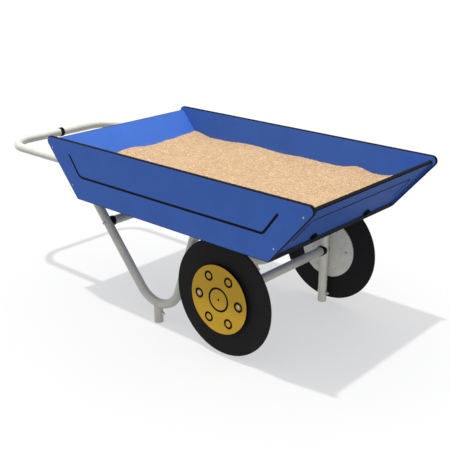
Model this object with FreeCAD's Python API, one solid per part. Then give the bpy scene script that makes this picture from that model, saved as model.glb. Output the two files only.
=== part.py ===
import FreeCAD
import Part
import math
import os

# Sand play cart with a wheelbarrow frame and two turning wheels.
# Millimetres. X points to the nose, Y to the left, Z up. The ground is Z = 0 and
# the origin lies under the middle of the whole cart, half way along and across.

# ---- driving dimensions -------------------------------------------------------
SHEET = 19.0              # thickness of the tray sheets
TRAY_WIDTH = 1032.0       # outside, across both side panels
TRAY_TOP = 915.0
TRAY_BOTTOM = 606.0
TRAY_TOP_LENGTH = 1821.2
TRAY_BOTTOM_LENGTH = 1298.8
NOSE_FOOT = 332.7         # front corner of the tray bottom, forward of the axle
NOSE_RADIUS = 28.0        # rounded top corners of the side panels
EDGE_ROUND = 5.0
FOOT_ROUND = 6.0          # bottom corners of the side panels
FRONT_RECESS = 16.2       # front panel set in from the sloped side ends
REAR_RECESS = 10.3
FRONT_DROP = 20.5         # inner top edge of the front panel below the rim
REAR_DROP = 19.0
SAND_LEVEL = 764.0

TUBE_R = 48.3 / 2
TUBE_WALL = 3.2
BORE_R = TUBE_R - TUBE_WALL
FRAME_Y = 394.0           # side frames and posts, from the middle
HANDLE_REACH = 1762.0     # crossbar axis, behind the axle
HANDLE_Z = 746.0
HANDLE_BEND = 162.0
JOINER_R = 27.8           # black sleeves of the handle joint and the cross tubes
ARM_BEND = 120.0
FOOT_REACH = 493.0        # lowest point of the leg bend, behind the axle
LEG_BEND = 165.0
LEG_BEND_Z = 109.0        # tube axis at that lowest point
LEG_TILT = math.radians(40.43)    # rear limb from the vertical, leaning back
LIMB_TILT = math.radians(18.80)   # front limb from the vertical, leaning forward
RUN_BEND = 90.0
RUN_END = 62.0            # top run reaches this far forward of the axle
LEG_JOINT_Z = 600.0       # sleeve joint between handle tube and leg tube
CROSS_Z = 466.0           # rear cross tube on the rear limb
FOOT_BOLT_Z = 55.0

WHEEL_R = 293.5
AXLE_Z = 307.7
DISC = 13.0
INNER_DISC = 8.0
INNER_DISC_R = 165.0
HUB_DISC_R = 175.0
WHEEL_INNER_Y = 422.1     # inner face of the pale disc, from the middle
BOLT_CIRCLE_R = 123.8
AXLE_R = 10.0
FIT = 0.05                # radial clearance of the running fits

GROOVE_DEPTH = 2.0
SIDE_GROOVE_WIDTH = 12.5
FRONT_GROOVE_WIDTH = 11.0
RING_GROOVE_WIDTH = 11.0
SMALL_RING_R = 20.8         # middle of the ring groove round each wheel fixing
LARGE_RING_R = 57.5         # and of the one round the hub
HUB_DIMPLE_R = 6.2

# ---- worked out from the driving dimensions -----------------------------------
OVERHANG = (TRAY_TOP_LENGTH - TRAY_BOTTOM_LENGTH) / 2
SLOPE = math.atan2(TRAY_TOP - TRAY_BOTTOM, OVERHANG)
RUN_PER_RISE = OVERHANG / (TRAY_TOP - TRAY_BOTTOM)
SHEET_X = SHEET / math.sin(SLOPE)
CORNER_TANGENT = NOSE_RADIUS / math.tan(SLOPE / 2)
NOSE_REACH = NOSE_FOOT + OVERHANG - CORNER_TANGENT + NOSE_RADIUS
AXLE_X = (HANDLE_REACH + JOINER_R - NOSE_REACH) / 2
HALF_WIDTH = TRAY_WIDTH / 2
INNER_HALF = HALF_WIDTH - SHEET
FLOOR_TOP = TRAY_BOTTOM + SHEET
FOOT_X = AXLE_X - FOOT_REACH
FRONT_CORNER_X = AXLE_X + NOSE_FOOT
REAR_CORNER_X = FRONT_CORNER_X - TRAY_BOTTOM_LENGTH
TYRE_Y = WHEEL_INNER_Y + INNER_DISC
SPACER_Y = TYRE_Y + DISC
HUB_Y = SPACER_Y + DISC
HUB_FACE_Y = HUB_Y + DISC
RUN_Z = TRAY_BOTTOM - TUBE_R
SIDES = {"left": 1, "right": -1}
V = FreeCAD.Vector
AXIS_X = V(1, 0, 0)
AXIS_Y = V(0, 1, 0)
AXIS_Z = V(0, 0, 1)

parts = {}


# ---- small helpers ------------------------------------------------------------
def box(x0, x1, y0, y1, z0, z1):
    corner = V(min(x0, x1), min(y0, y1), min(z0, z1))
    return Part.makeBox(abs(x1 - x0), abs(y1 - y0), abs(z1 - z0), corner)


def rod(start, direction, radius, length):
    return Part.makeCylinder(radius, length, start, direction)


def along_y(x, z, radius, side, y0, y1):
    """Cylinder along Y on one side of the cart, from |y| = y0 to y1."""
    return rod(V(x, side * y0, z), V(0, side, 0), radius, y1 - y0)


def ring_y(x, z, outer, inner, side, y0, y1):
    body = along_y(x, z, outer, side, y0, y1)
    return body.cut(along_y(x, z, inner, side, y0 - 1, y1 + 1))


def hexagon(centre, direction, across_flats, height):
    """Hexagonal prism that starts at centre and rises along direction."""
    radius = across_flats / math.sqrt(3)
    placement = FreeCAD.Placement(centre, FreeCAD.Rotation(AXIS_Z, direction))
    corners = []
    for k in range(7):
        turn = math.radians(60 * k)
        corners.append(placement.multVec(V(radius * math.cos(turn), radius * math.sin(turn), 0)))
    face = Part.Face(Part.makePolygon(corners))
    return face.extrude(V(direction).normalize() * height)


def dome(centre, direction, radius, height):
    """Domed bolt head: the cap of a ball that starts at centre."""
    ball_r = (radius * radius + height * height) / (2 * height)
    unit = V(direction).normalize()
    ball = Part.makeSphere(ball_r, centre + unit * (height - ball_r))
    return ball.common(rod(centre, unit, radius + 1, height + 1))


def screw(head_face, direction, shank_r, length, head_r, head_h):
    """Domed screw: the head stands proud of head_face, the shank goes along direction."""
    unit = V(direction).normalize()
    shank = rod(head_face - unit * 0.5, unit, shank_r, length + 0.5)
    return dome(head_face, unit * -1, head_r, head_h).fuse(shank).removeSplitter()


def compound(solids):
    return Part.makeCompound(solids)


def prism_y(outline, y0, y1):
    """Solid from (x, z) corners, extruded along Y from y0 to y1."""
    corners = [V(x, y0, z) for x, z in outline]
    face = Part.Face(Part.makePolygon(corners + corners[:1]))
    return face.extrude(V(0, y1 - y0, 0))


def rounded_path(points, radii):
    """Wire of straight runs joined by tangent arcs, one radius per inner point."""
    edges = []
    start = points[0]
    for before, corner, after, radius in zip(points, points[1:], points[2:], radii):
        back = (before - corner).normalize()
        ahead = (after - corner).normalize()
        half = back.getAngle(ahead) / 2
        reach = radius / math.tan(half)
        first = corner + back * reach
        last = corner + ahead * reach
        bisector = (back + ahead).normalize()
        middle = corner + bisector * (radius / math.sin(half) - radius)
        edges.append(Part.LineSegment(start, first).toShape())
        edges.append(Part.Arc(first, middle, last).toShape())
        start = last
    edges.append(Part.LineSegment(start, points[-1]).toShape())
    return Part.Wire(edges)


def sweep(path, radius):
    start = path.Edges[0].valueAt(path.Edges[0].FirstParameter)
    tangent = path.Edges[0].tangentAt(path.Edges[0].FirstParameter)
    circle = Part.Wire(Part.makeCircle(radius, start, tangent))
    return path.makePipeShell([circle], True, False)


def hollow_sweep(path):
    return sweep(path, TUBE_R).cut(sweep(path, BORE_R))


# ---- places on the frame and the tray -----------------------------------------
LEG_DIR = V(-math.sin(LEG_TILT), 0, math.cos(LEG_TILT))
LIMB_DIR = V(math.sin(LIMB_TILT), 0, math.cos(LIMB_TILT))
BEND_CENTRE = V(FOOT_X, 0, LEG_BEND_Z + LEG_BEND)


def leg_vertex(y):
    """Where the axes of the rear and front limbs would meet, below the bend."""
    half = (LEG_TILT + LIMB_TILT) / 2
    bisector = V(math.sin(half - LEG_TILT), 0, math.cos(half - LEG_TILT))
    return V(BEND_CENTRE.x, y, BEND_CENTRE.z) - bisector * (LEG_BEND / math.sin(half))


def on_leg(z, y):
    foot = leg_vertex(y)
    return foot + LEG_DIR * ((z - foot.z) / LEG_DIR.z)


def on_limb(z, y):
    foot = leg_vertex(y)
    return foot + LIMB_DIR * ((z - foot.z) / LIMB_DIR.z)


def front_outer_x(z):
    """Outer face of the front panel at height z."""
    return FRONT_CORNER_X + (z - TRAY_BOTTOM) * RUN_PER_RISE - FRONT_RECESS / math.sin(SLOPE)


def rear_outer_x(z):
    return REAR_CORNER_X - (z - TRAY_BOTTOM) * RUN_PER_RISE + REAR_RECESS / math.sin(SLOPE)


# ---- tray ---------------------------------------------------------------------
def side_outline():
    """Side panel outline in the XZ plane: a trapezium with rounded top corners."""
    y = 0
    rear_top = V(REAR_CORNER_X - OVERHANG, y, TRAY_TOP)
    front_top = V(FRONT_CORNER_X + OVERHANG, y, TRAY_TOP)
    corners = [V(AXLE_X, y, TRAY_BOTTOM), V(REAR_CORNER_X, y, TRAY_BOTTOM), rear_top, front_top,
               V(FRONT_CORNER_X, y, TRAY_BOTTOM), V(AXLE_X, y, TRAY_BOTTOM)]
    return rounded_path(corners, [FOOT_ROUND, NOSE_RADIUS, NOSE_RADIUS, FOOT_ROUND])


def groove_cutter(path, width, depth, outward):
    """Cutter for a flat slot with round ends that follows path, sunk against outward."""
    outline = path.makeOffset2D(width / 2, 0, False, False)
    outline.translate(V(outward) * 1.0)
    return Part.Face(outline).extrude(V(outward) * -(depth + 1.0))


GROOVE_Z = 734.0          # straight run of the side groove
GROOVE_TOP = 837.5        # ends of its two arms
GROOVE_REAR = (-1009.5, -935.0)   # arm end and corner, forward of the axle
GROOVE_FRONT = (299.0, 376.5)     # corner and arm end


def side_groove(side):
    """Shallow channel that follows the lower edge and turns up at both ends."""
    y = side * HALF_WIDTH
    rear_end, rear_corner = GROOVE_REAR
    front_corner, front_end = GROOVE_FRONT
    path = rounded_path([V(AXLE_X + rear_end, y, GROOVE_TOP), V(AXLE_X + rear_corner, y, GROOVE_Z),
                         V(AXLE_X + front_corner, y, GROOVE_Z), V(AXLE_X + front_end, y, GROOVE_TOP)],
                        [50.0, 30.0])
    return groove_cutter(path, SIDE_GROOVE_WIDTH, GROOVE_DEPTH, V(0, side, 0))


def end_screw_places():
    """(x, z) of the screws that hold the end panels, two at each end."""
    places = []
    for z in (TRAY_BOTTOM + 72.0, TRAY_TOP - 59.0):
        places.append((front_outer_x(z) - SHEET_X / 2, z))
        places.append((rear_outer_x(z) + SHEET_X / 2, z))
    return places


SCREW_R = 3.0
SCREW_LENGTH = 60.0
CAP_R = 4.8


def side_panel(side):
    outer = side * HALF_WIDTH
    inner = side * INNER_HALF
    wire = side_outline()
    wire.translate(V(0, inner, 0))
    panel = Part.Face(wire).extrude(V(0, outer - inner, 0))
    rims = []
    for edge in panel.Edges:
        box_y = edge.BoundBox
        if box_y.YLength < 0.01:
            rims.append(edge)
    panel = panel.makeFillet(EDGE_ROUND, rims)
    panel = panel.cut(side_groove(side))
    for x, z in end_screw_places():
        panel = panel.cut(along_y(x, z, SCREW_R, side, INNER_HALF - 1, HALF_WIDTH + 1))
        panel = panel.cut(along_y(x, z, CAP_R, side, HALF_WIDTH - 4.0, HALF_WIDTH + 1))
    return panel


def end_panel(outer_x, sign, drop):
    """Sloped end panel; sign is +1 at the nose, -1 at the back, drop is how far the rim is down."""
    top_inner_z = TRAY_TOP - drop
    top_outer_z = top_inner_z - SHEET * math.cos(SLOPE)
    top_outer = (outer_x(top_outer_z), top_outer_z)
    top_inner = (outer_x(top_inner_z) - sign * SHEET_X, top_inner_z)
    low_z = FLOOR_TOP if sign > 0 else TRAY_BOTTOM
    low_outer = (outer_x(low_z), low_z)
    low_inner = (outer_x(low_z) - sign * SHEET_X, low_z)
    panel = prism_y([low_outer, top_outer, top_inner, low_inner], -INNER_HALF, INNER_HALF)
    rims = []
    for edge in panel.Edges:
        if edge.BoundBox.YLength > TRAY_WIDTH / 2 and edge.BoundBox.ZMin > top_outer_z - 1:
            rims.append(edge)
    panel = panel.makeFillet(EDGE_ROUND, rims)
    for side in SIDES.values():
        for x, z in end_screw_places():
            panel = panel.cut(along_y(x, z, SCREW_R, side, INNER_HALF - SCREW_LENGTH, INNER_HALF + 1))
    return panel


def front_groove():
    """Inverted U, cut into the outer face of the front panel."""
    half = 412.0
    top_z = TRAY_TOP - 109.0
    low_z = TRAY_TOP - 219.0
    outward = V(math.sin(SLOPE), 0, -math.cos(SLOPE))
    path = rounded_path([V(front_outer_x(low_z), -half, low_z), V(front_outer_x(top_z), -half, top_z),
                         V(front_outer_x(top_z), half, top_z), V(front_outer_x(low_z), half, low_z)],
                        [32.0, 32.0])
    return groove_cutter(path, FRONT_GROOVE_WIDTH, GROOVE_DEPTH, outward)


BUMPER_Y = 219.0
BUMPER_WIDTH = 22.0
BUMPER_DEPTH = 18.0
BUMPER_LOW = 22.0          # along the slope, from the foot of the panel
BUMPER_HIGH = 54.0


def bumper_frame(side):
    """Placement on the front panel's outer face: X out of it, Z up the slope."""
    outward = V(math.sin(SLOPE), 0, -math.cos(SLOPE))
    up = V(math.cos(SLOPE), 0, math.sin(SLOPE))
    base = V(front_outer_x(FLOOR_TOP), side * BUMPER_Y, FLOOR_TOP)
    turn = FreeCAD.Rotation(outward, V(0, 1, 0), up, "XYZ")
    return FreeCAD.Placement(base, turn)


def bumper(side):
    block = box(0, BUMPER_DEPTH, -BUMPER_WIDTH / 2, BUMPER_WIDTH / 2, BUMPER_LOW, BUMPER_HIGH)
    outer_edges = []
    for edge in block.Edges:
        if edge.BoundBox.XMin > 1:
            outer_edges.append(edge)
    block = block.makeFillet(4.0, outer_edges)
    middle = (BUMPER_LOW + BUMPER_HIGH) / 2
    hole = rod(V(-1, 0, middle), AXIS_X, 2.5, BUMPER_DEPTH + 2)
    sink = rod(V(BUMPER_DEPTH - 5, 0, middle), AXIS_X, 6.0, 10)
    block = block.cut(hole).cut(sink)
    block.Placement = bumper_frame(side)
    return block


def bumper_screw(side):
    middle = (BUMPER_LOW + BUMPER_HIGH) / 2
    body = screw(V(BUMPER_DEPTH - 5, 0, middle), V(-1, 0, 0), 2.5, BUMPER_DEPTH + 7, 5.0, 3.0)
    body.Placement = bumper_frame(side)
    return body


ANGLE_LEG = 30.0
ANGLE_THICK = 3.0
ANGLE_LENGTH = 1000.0
ANGLE_MID_X = (FRONT_CORNER_X + REAR_CORNER_X) / 2
ANGLE_SCREWS = 4


def angle_screw_xs():
    pitch = ANGLE_LENGTH / ANGLE_SCREWS
    return [ANGLE_MID_X - ANGLE_LENGTH / 2 + pitch * (k + 0.5) for k in range(ANGLE_SCREWS)]


def floor_angle(side):
    """Metal angle in the corner between the floor and a side panel."""
    x0 = ANGLE_MID_X - ANGLE_LENGTH / 2
    x1 = ANGLE_MID_X + ANGLE_LENGTH / 2
    inner = side * INNER_HALF
    flat = box(x0, x1, inner, inner - side * ANGLE_LEG, FLOOR_TOP, FLOOR_TOP + ANGLE_THICK)
    upright = box(x0, x1, inner, inner - side * ANGLE_THICK, FLOOR_TOP, FLOOR_TOP + ANGLE_LEG)
    angle = flat.fuse(upright).removeSplitter()
    for x in angle_screw_xs():
        angle = angle.cut(rod(V(x, inner - side * 18, FLOOR_TOP - 1), AXIS_Z, 2.0, 6))
        angle = angle.cut(along_y(x + 40, FLOOR_TOP + 18, 2.0, side, INNER_HALF - 6, INNER_HALF + 1))
    return angle


def floor_angle_screws():
    solids = []
    for side in SIDES.values():
        inner = side * INNER_HALF
        for x in angle_screw_xs():
            solids.append(screw(V(x, inner - side * 18, FLOOR_TOP + ANGLE_THICK),
                                V(0, 0, -1), 2.0, 16.0, 4.0, 2.0))
            solids.append(screw(V(x + 40, inner - side * ANGLE_THICK, FLOOR_TOP + 18),
                                V(0, side, 0), 2.0, 16.0, 4.0, 2.0))
    return solids


TRAY_BOLT_XS = (AXLE_X - 115.0, AXLE_X + 42.0)
TRAY_BOLT_R = 4.0
TRAY_HEAD_R = 9.0
TRAY_HEAD_H = 5.0


def tray_bolt(x, y):
    """Countersunk bolt, flush with the floor, down through the top run."""
    head = Part.makeCone(TRAY_BOLT_R, TRAY_HEAD_R, TRAY_HEAD_H, V(x, y, FLOOR_TOP - TRAY_HEAD_H))
    shank = rod(V(x, y, RUN_Z - TUBE_R - 12), AXIS_Z, TRAY_BOLT_R, FLOOR_TOP - RUN_Z + TUBE_R + 12)
    return head.fuse(shank).removeSplitter()


def tray_nut(x, y):
    nut = hexagon(V(x, y, RUN_Z - TUBE_R), V(0, 0, -1), 13.0, 8.0)
    return nut.cut(rod(V(x, y, RUN_Z - TUBE_R - 10), AXIS_Z, TRAY_BOLT_R, 12))


def floor_panel():
    front_x = FRONT_CORNER_X + 1.0
    inner_rear = SHEET_X
    outline = [(rear_outer_x(TRAY_BOTTOM) + inner_rear, TRAY_BOTTOM), (front_x, TRAY_BOTTOM),
               (front_x, FLOOR_TOP), (rear_outer_x(FLOOR_TOP) + inner_rear, FLOOR_TOP)]
    floor = prism_y(outline, -INNER_HALF, INNER_HALF)
    for side in SIDES.values():
        for x in TRAY_BOLT_XS:
            floor = floor.cut(tray_bolt(x, side * FRAME_Y))
        for x in angle_screw_xs():
            floor = floor.cut(rod(V(x, side * (INNER_HALF - 18), FLOOR_TOP - 14), AXIS_Z, 2.0, 20))
    return floor


def sand_fill():
    """The heap that fills the tray, level on top, clear of the metal angles."""
    low_front = front_outer_x(FLOOR_TOP) - SHEET_X
    low_rear = rear_outer_x(FLOOR_TOP) + SHEET_X
    top_front = front_outer_x(SAND_LEVEL) - SHEET_X
    top_rear = rear_outer_x(SAND_LEVEL) + SHEET_X
    heap = prism_y([(low_rear, FLOOR_TOP), (low_front, FLOOR_TOP), (top_front, SAND_LEVEL),
                    (top_rear, SAND_LEVEL)], -INNER_HALF, INNER_HALF)
    for side in SIDES.values():
        inner = side * INNER_HALF
        heap = heap.cut(box(ANGLE_MID_X - ANGLE_LENGTH / 2 - 1, ANGLE_MID_X + ANGLE_LENGTH / 2 + 1,
                            inner + side, inner - side * (ANGLE_LEG + 2),
                            FLOOR_TOP - 1, FLOOR_TOP + ANGLE_LEG + 2))
    for side in SIDES.values():
        nut = rear_fixing(side)[2]
        heap = heap.cut(nut).cut(rear_fixing(side)[1])
    return heap


# ---- frame --------------------------------------------------------------------
def handle_path(side):
    y = side * FRAME_Y
    crossbar_x = AXLE_X - HANDLE_REACH
    corner = on_leg(HANDLE_Z, y)
    return rounded_path([V(crossbar_x, side * 1.0, HANDLE_Z), V(crossbar_x, y, HANDLE_Z),
                         V(corner.x, y, HANDLE_Z), on_leg(LEG_JOINT_Z, y)],
                        [HANDLE_BEND, ARM_BEND])


def leg_path(side):
    y = side * FRAME_Y
    return rounded_path([on_leg(LEG_JOINT_Z, y), leg_vertex(y), on_limb(RUN_Z, y),
                         V(AXLE_X + RUN_END, y, RUN_Z)], [LEG_BEND, RUN_BEND])


def cross_bolt_hole(side):
    """Hole through a rear limb for the bolt of the rear cross tube."""
    place = on_leg(CROSS_Z, 0)
    return along_y(place.x, CROSS_Z, 5.0, side, FRAME_Y - TUBE_R - 2, FRAME_Y + TUBE_R + 2)


REAR_BOLT_Z = 665.0
REAR_BOLT_R = 4.0
REAR_OUT = V(-math.sin(SLOPE), 0, -math.cos(SLOPE))


def rear_fixing(side):
    """Spacer, bolt and nut that hold the handle tube to the rear panel."""
    place = on_leg(REAR_BOLT_Z, side * FRAME_Y)
    outward = REAR_OUT
    face_x = rear_outer_x(place.z)
    gap = (face_x - place.x) * math.sin(SLOPE)
    face = place - outward * gap
    spacer = rod(face, outward, 17.0, gap - 8)
    spacer = spacer.cut(rod(place - LEG_DIR * 60, LEG_DIR, TUBE_R, 120))
    spacer = spacer.cut(rod(face - outward, outward, REAR_BOLT_R, gap))
    inner_face = face - outward * SHEET
    length = gap + SHEET + TUBE_R + 12
    bolt = screw(place + outward * TUBE_R, outward * -1, REAR_BOLT_R, length, 8.0, 4.5)
    nut = hexagon(inner_face, outward * -1, 13.0, 7.0)
    nut = nut.cut(rod(inner_face + outward, outward * -1, REAR_BOLT_R, 10))
    return spacer, bolt, nut


def handle_tube(side):
    """Half of the looped handle, drilled for the bolt into the rear panel."""
    place = on_leg(REAR_BOLT_Z, side * FRAME_Y)
    hole = rod(place + REAR_OUT * 40, REAR_OUT * -1, REAR_BOLT_R, 80)
    return hollow_sweep(handle_path(side)).cut(hole)


def leg_tube(side):
    tube = hollow_sweep(leg_path(side))
    tube = tube.cut(cross_bolt_hole(side))
    for x in TRAY_BOLT_XS:
        tube = tube.cut(rod(V(x, side * FRAME_Y, RUN_Z - 60), AXIS_Z, TRAY_BOLT_R, 120))
    return tube


def leg_spigot(side):
    middle = on_leg(LEG_JOINT_Z, side * FRAME_Y)
    sleeve = rod(middle - LEG_DIR * 40, LEG_DIR, BORE_R, 80)
    return sleeve.cut(rod(middle - LEG_DIR * 41, LEG_DIR, BORE_R - 3, 82))


def handle_spigot():
    start = V(AXLE_X - HANDLE_REACH, -90, HANDLE_Z)
    return rod(start, AXIS_Y, BORE_R, 180).cut(rod(start - AXIS_Y, AXIS_Y, BORE_R - 3, 182))


def handle_joiner():
    """Black sleeve over the middle of the crossbar: two ribs with a groove between."""
    x = AXLE_X - HANDLE_REACH
    body = rod(V(x, -12, HANDLE_Z), AXIS_Y, JOINER_R, 24)
    groove = rod(V(x, -3, HANDLE_Z), AXIS_Y, 40, 6).cut(rod(V(x, -4, HANDLE_Z), AXIS_Y, 26.0, 8))
    rims = []
    for edge in body.Edges:
        if edge.BoundBox.XLength > 10:
            rims.append(edge)
    body = body.makeFillet(1.5, rims).cut(groove)
    return body.cut(rod(V(x, -20, HANDLE_Z), AXIS_Y, TUBE_R, 40))


def foot_bolt_hole(x, side):
    return rod(V(x - 60, side * FRAME_Y, FOOT_BOLT_Z), AXIS_X, 5.0, 120)


def front_post(side):
    y = side * FRAME_Y
    post = rod(V(AXLE_X, y, 0), AXIS_Z, TUBE_R, RUN_Z)
    post = post.cut(rod(V(AXLE_X, y, -1), AXIS_Z, BORE_R, RUN_Z + 2))
    run = rod(V(AXLE_X - 60, y, RUN_Z), AXIS_X, TUBE_R, 120)
    post = post.cut(run).cut(foot_bolt_hole(AXLE_X, side))
    return post.cut(along_y(AXLE_X, AXLE_Z, AXLE_R, side, FRAME_Y - 60, FRAME_Y + 60))


def rear_foot(side):
    y = side * FRAME_Y
    stub = rod(V(FOOT_X, y, 0), AXIS_Z, TUBE_R, LEG_BEND_Z)
    stub = stub.cut(rod(V(FOOT_X, y, -1), AXIS_Z, BORE_R, LEG_BEND_Z + 2))
    return stub.cut(sweep(leg_path(side), TUBE_R)).cut(foot_bolt_hole(FOOT_X, side))


def foot_sleeve(x, side):
    """Inner sleeve that stiffens a foot where the cross bolt squeezes it."""
    start = V(x, side * FRAME_Y, 2.0)
    height = 76.0
    sleeve = rod(start, AXIS_Z, BORE_R, height).cut(rod(start - AXIS_Z, AXIS_Z, BORE_R - 3, height + 2))
    return sleeve.cut(foot_bolt_hole(x, side))


def foot_bolt(x, side):
    """Button head on the back of the foot; the shank ends inside the domed nut."""
    y = side * FRAME_Y
    head = dome(V(x - TUBE_R + 1.0, y, FOOT_BOLT_Z), V(-1, 0, 0), 9.0, 7.0)
    head = head.cut(rod(V(x, y, 0), AXIS_Z, TUBE_R, 120))
    shank = rod(V(x - TUBE_R - 2, y, FOOT_BOLT_Z), AXIS_X, 5.0, 2 * TUBE_R + 10)
    return head.fuse(shank).removeSplitter()


def foot_nut(x, side):
    """Domed nut on the front of the foot: a hexagon under a round cap."""
    y = side * FRAME_Y
    nut = hexagon(V(x + TUBE_R - 2.0, y, FOOT_BOLT_Z), AXIS_X, 17.0, 11.0)
    cap = dome(V(x + TUBE_R + 9.0, y, FOOT_BOLT_Z), AXIS_X, 7.5, 11.0)
    nut = nut.fuse(cap).removeSplitter()
    nut = nut.cut(rod(V(x, y, 0), AXIS_Z, TUBE_R, 120))
    return nut.cut(rod(V(x, y, FOOT_BOLT_Z), AXIS_X, 5.0, TUBE_R + 8.5))


CROSS_END = FRAME_Y - TUBE_R - 10.0


def cross_tube(x, z):
    tube = rod(V(x, -CROSS_END, z), AXIS_Y, TUBE_R, 2 * CROSS_END)
    return tube.cut(rod(V(x, -CROSS_END - 1, z), AXIS_Y, BORE_R, 2 * CROSS_END + 2))


def saddle(x, z, side, tube_dir, bolt_r):
    """Black plastic saddle between the end of a cross tube and a side tube."""
    body = along_y(x, z, JOINER_R, side, CROSS_END - 4, FRAME_Y - 12)
    body = body.cut(along_y(x, z, TUBE_R, side, CROSS_END - 8, CROSS_END))
    body = body.cut(rod(V(x, side * FRAME_Y, z) - V(tube_dir) * 80, tube_dir, TUBE_R, 160))
    return body.cut(along_y(x, z, bolt_r, side, CROSS_END - 9, FRAME_Y))


def tube_insert(x, z, side, bolt_r):
    """Threaded plug welded into the end of a cross tube."""
    return ring_y(x, z, BORE_R, bolt_r, side, CROSS_END - 34, CROSS_END)


def rear_cross_bolt(side):
    place = on_leg(CROSS_Z, 0)
    head = dome(V(place.x, side * (FRAME_Y + TUBE_R - 1.0), CROSS_Z), V(0, side, 0), 9.5, 9.5)
    head = head.cut(rod(V(place.x, side * FRAME_Y, CROSS_Z) - LEG_DIR * 60, LEG_DIR, TUBE_R, 120))
    shank = along_y(place.x, CROSS_Z, 5.0, side, CROSS_END - 40, FRAME_Y + TUBE_R + 2)
    return head.fuse(shank).removeSplitter()


def run_cap(side):
    """Plastic plug in the front end of the top run."""
    x = AXLE_X + RUN_END
    flange = rod(V(x, side * FRAME_Y, RUN_Z), AXIS_X, TUBE_R - 0.5, 3)
    plug = rod(V(x - 9, side * FRAME_Y, RUN_Z), AXIS_X, BORE_R, 10)
    return flange.fuse(plug).removeSplitter()


# ---- wheels -------------------------------------------------------------------
POCKET_R = 30.0
BUSH_R = 13.0
BUSH_FLANGE_R = 16.0
BUSH_FLANGE = 2.0
WHEEL_BOLT_R = 4.0
WHEEL_SCREW_R = 3.0
THROUGH_ANGLES = (0, 180)
SCREW_ANGLES = (60, 120, 240, 300)


def on_circle(angle, radius=BOLT_CIRCLE_R):
    turn = math.radians(angle)
    return AXLE_X + radius * math.cos(turn), AXLE_Z + radius * math.sin(turn)


def wheel_disc(radius, bore, side, y0, y1, round_edges=1.0):
    """One sheet disc of a wheel, with its centre bore and its fixing holes."""
    disc = along_y(AXLE_X, AXLE_Z, radius, side, y0, y1)
    rims = []
    for edge in disc.Edges:
        if edge.BoundBox.YLength < 0.01:
            rims.append(edge)
    disc = disc.makeFillet(round_edges, rims)
    if bore:
        disc = disc.cut(along_y(AXLE_X, AXLE_Z, bore, side, y0 - 1, y1 + 1))
    for angle in THROUGH_ANGLES:
        x, z = on_circle(angle)
        disc = disc.cut(along_y(x, z, WHEEL_BOLT_R, side, y0 - 1, y1 + 1))
    return disc


def screw_holes(disc, side, y0, y1):
    for angle in SCREW_ANGLES:
        x, z = on_circle(angle)
        disc = disc.cut(along_y(x, z, WHEEL_SCREW_R, side, y0, y1))
    return disc


def tyre_disc(side):
    disc = wheel_disc(WHEEL_R, BUSH_R, side, TYRE_Y, SPACER_Y, 3.0)
    return screw_holes(disc, side, TYRE_Y - 1, SPACER_Y + 1)


def inner_disc(side):
    disc = wheel_disc(INNER_DISC_R, BUSH_R, side, WHEEL_INNER_Y, TYRE_Y)
    disc = screw_holes(disc, side, WHEEL_INNER_Y - 1, TYRE_Y + 1)
    return disc


def spacer_disc(side):
    disc = wheel_disc(HUB_DISC_R - 4.0, POCKET_R, side, SPACER_Y, HUB_Y)
    return screw_holes(disc, side, SPACER_Y - 1, HUB_Y + 1)


def hub_disc(side):
    """Yellow disc: a ring groove round each fixing and a large one in the middle."""
    disc = wheel_disc(HUB_DISC_R, 0, side, HUB_Y, HUB_FACE_Y, 1.5)
    half = RING_GROOVE_WIDTH / 2
    floor_y = HUB_FACE_Y - GROOVE_DEPTH
    clear_y = HUB_FACE_Y + 1
    for angle in range(0, 360, 60):
        x, z = on_circle(angle)
        disc = disc.cut(ring_y(x, z, SMALL_RING_R + half, SMALL_RING_R - half, side, floor_y, clear_y))
    outer_r = LARGE_RING_R + half
    disc = disc.cut(ring_y(AXLE_X, AXLE_Z, outer_r, outer_r - RING_GROOVE_WIDTH, side, floor_y, clear_y))
    disc = disc.cut(along_y(AXLE_X, AXLE_Z, HUB_DIMPLE_R, side, floor_y, clear_y))
    disc = screw_holes(disc, side, HUB_Y - 1, HUB_Y + 8)
    for angle in SCREW_ANGLES:
        x, z = on_circle(angle)
        disc = disc.cut(along_y(x, z, 1.6, side, HUB_FACE_Y - 1, clear_y))
    return disc


def wheel_bolts(side):
    solids = []
    for angle in THROUGH_ANGLES:
        x, z = on_circle(angle)
        solids.append(screw(V(x, side * HUB_FACE_Y, z), V(0, -side, 0), WHEEL_BOLT_R,
                            HUB_FACE_Y - WHEEL_INNER_Y + 2.0, 8.75, 5.0))
    return solids


def wheel_nuts(side):
    solids = []
    for angle in THROUGH_ANGLES:
        x, z = on_circle(angle)
        nut = dome(V(x, side * WHEEL_INNER_Y, z), V(0, -side, 0), 10.5, 3.0)
        bore = along_y(x, z, WHEEL_BOLT_R, side, WHEEL_INNER_Y - 2.0, WHEEL_INNER_Y + 1)
        solids.append(nut.cut(bore))
    return solids


def wheel_screws(side):
    solids = []
    for angle in SCREW_ANGLES:
        x, z = on_circle(angle)
        solids.append(screw(V(x, side * WHEEL_INNER_Y, z), V(0, side, 0), WHEEL_SCREW_R,
                            HUB_Y + 7.5 - WHEEL_INNER_Y, 5.5, 2.5))
    return solids


def wheel_bush(side):
    """Flanged bearing sleeve pressed into the discs; it turns on the axle."""
    sleeve = along_y(AXLE_X, AXLE_Z, BUSH_R, side, WHEEL_INNER_Y, SPACER_Y)
    flange = along_y(AXLE_X, AXLE_Z, BUSH_FLANGE_R, side, WHEEL_INNER_Y - BUSH_FLANGE, WHEEL_INNER_Y)
    body = sleeve.fuse(flange).removeSplitter()
    return body.cut(along_y(AXLE_X, AXLE_Z, AXLE_R + FIT, side, WHEEL_INNER_Y - 5, SPACER_Y + 1))


AXLE_END = HUB_Y - 1.0
AXLE_NUT = 8.0
THRUST_GAP = 0.4


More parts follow.
